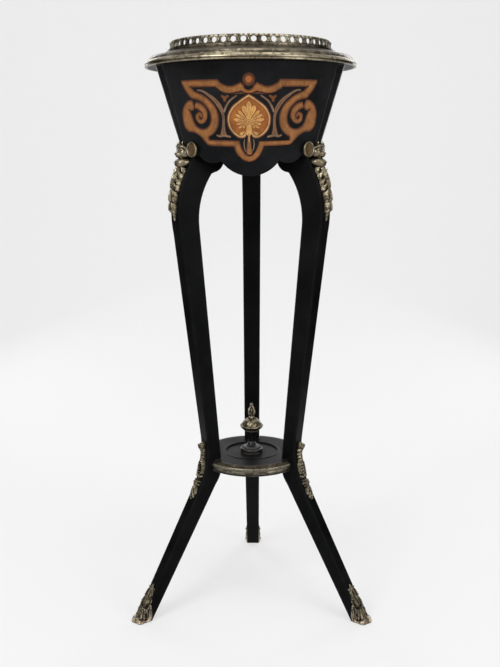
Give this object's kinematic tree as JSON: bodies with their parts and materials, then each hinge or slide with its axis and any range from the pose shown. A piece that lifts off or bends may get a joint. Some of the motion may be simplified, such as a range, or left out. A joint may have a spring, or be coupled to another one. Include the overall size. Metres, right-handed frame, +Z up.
{
  "type": "tripod jardiniere",
  "caption": "Tall tripod planter stand: a flared tub with bowed inlaid panels and a lift-out metal liner, on cabriole legs joined by a round shelf, with bronze mounts.",
  "frame": {"origin": "on the floor, under the stand's vertical axis", "axes": "+Z up; the front panel faces -Y; +X to the right of someone looking at the front"},
  "size_m": [0.4792, 0.462, 1.08],
  "materials": {
    "ebonised_wood": "black lacquer, satin gloss",
    "carcase_wood": "plain sawn and planed",
    "marquetry": "inlaid and french polished",
    "bronze": "dark patinated, rubbed bright on the high parts",
    "zinc": "dull oxidised sheet",
    "steel": "aged plain steel"
  },
  "bodies": {
    "stand": {"back_ankle_mount": "bronze", "back_corner_block": "carcase_wood", "back_corner_post": "ebonised_wood", "back_knee_drop": "bronze", "back_knee_mask": "bronze", "back_leg": "ebonised_wood", "back_mount_pins": "bronze", "back_sabot": "bronze", "collar": "bronze", "finial_base_ring": "ebonised_wood", "finial_cap": "bronze", "finial_flame": "bronze", "finial_nut": "steel", "finial_rod": "steel", "finial_vase": "ebonised_wood", "finial_washer": "steel", "front_panel": "carcase_wood", "front_shelf_strip": "bronze", "front_veneer": "marquetry", "gallery": "bronze", "left_ankle_mount": "bronze", "left_corner_block": "carcase_wood", "left_corner_post": "ebonised_wood", "left_knee_drop": "bronze", "left_knee_mask": "bronze", "left_leg": "ebonised_wood", "left_mount_pins": "bronze", "left_panel": "carcase_wood", "left_sabot": "bronze", "left_shelf_strip": "bronze", "left_veneer": "marquetry", "leg_screws": "steel", "right_ankle_mount": "bronze", "right_corner_block": "carcase_wood", "right_corner_post": "ebonised_wood", "right_knee_drop": "bronze", "right_knee_mask": "bronze", "right_leg": "ebonised_wood", "right_mount_pins": "bronze", "right_panel": "carcase_wood", "right_sabot": "bronze", "right_shelf_strip": "bronze", "right_veneer": "marquetry", "rim_moulding": "bronze", "rim_screws": "steel", "shelf": "ebonised_wood", "shelf_dowels": "carcase_wood", "top_board": "ebonised_wood", "tub_floor": "carcase_wood"},
    "liner": {"liner": "zinc", "liner_floor": "zinc", "left_handle_lugs": "zinc", "right_handle_lugs": "zinc"},
    "left_handle": {"left_handle": "steel"},
    "right_handle": {"right_handle": "steel"}
  },
  "joints": [
    {"name": "liner_lift", "type": "slide", "parent": "stand", "child": "liner", "axis": [0, 0, 1], "range_m": [0, 0.19]},
    {"name": "right_handle_swing", "type": "hinge", "parent": "liner", "child": "right_handle", "pos_m": [0.108, 0, 1.03], "axis": [0, 1, 0], "range_deg": [0, 165]},
    {"name": "left_handle_swing", "type": "hinge", "parent": "liner", "child": "left_handle", "pos_m": [-0.108, 0, 1.03], "axis": [0, -1, 0], "range_deg": [0, 165]}
  ]
}
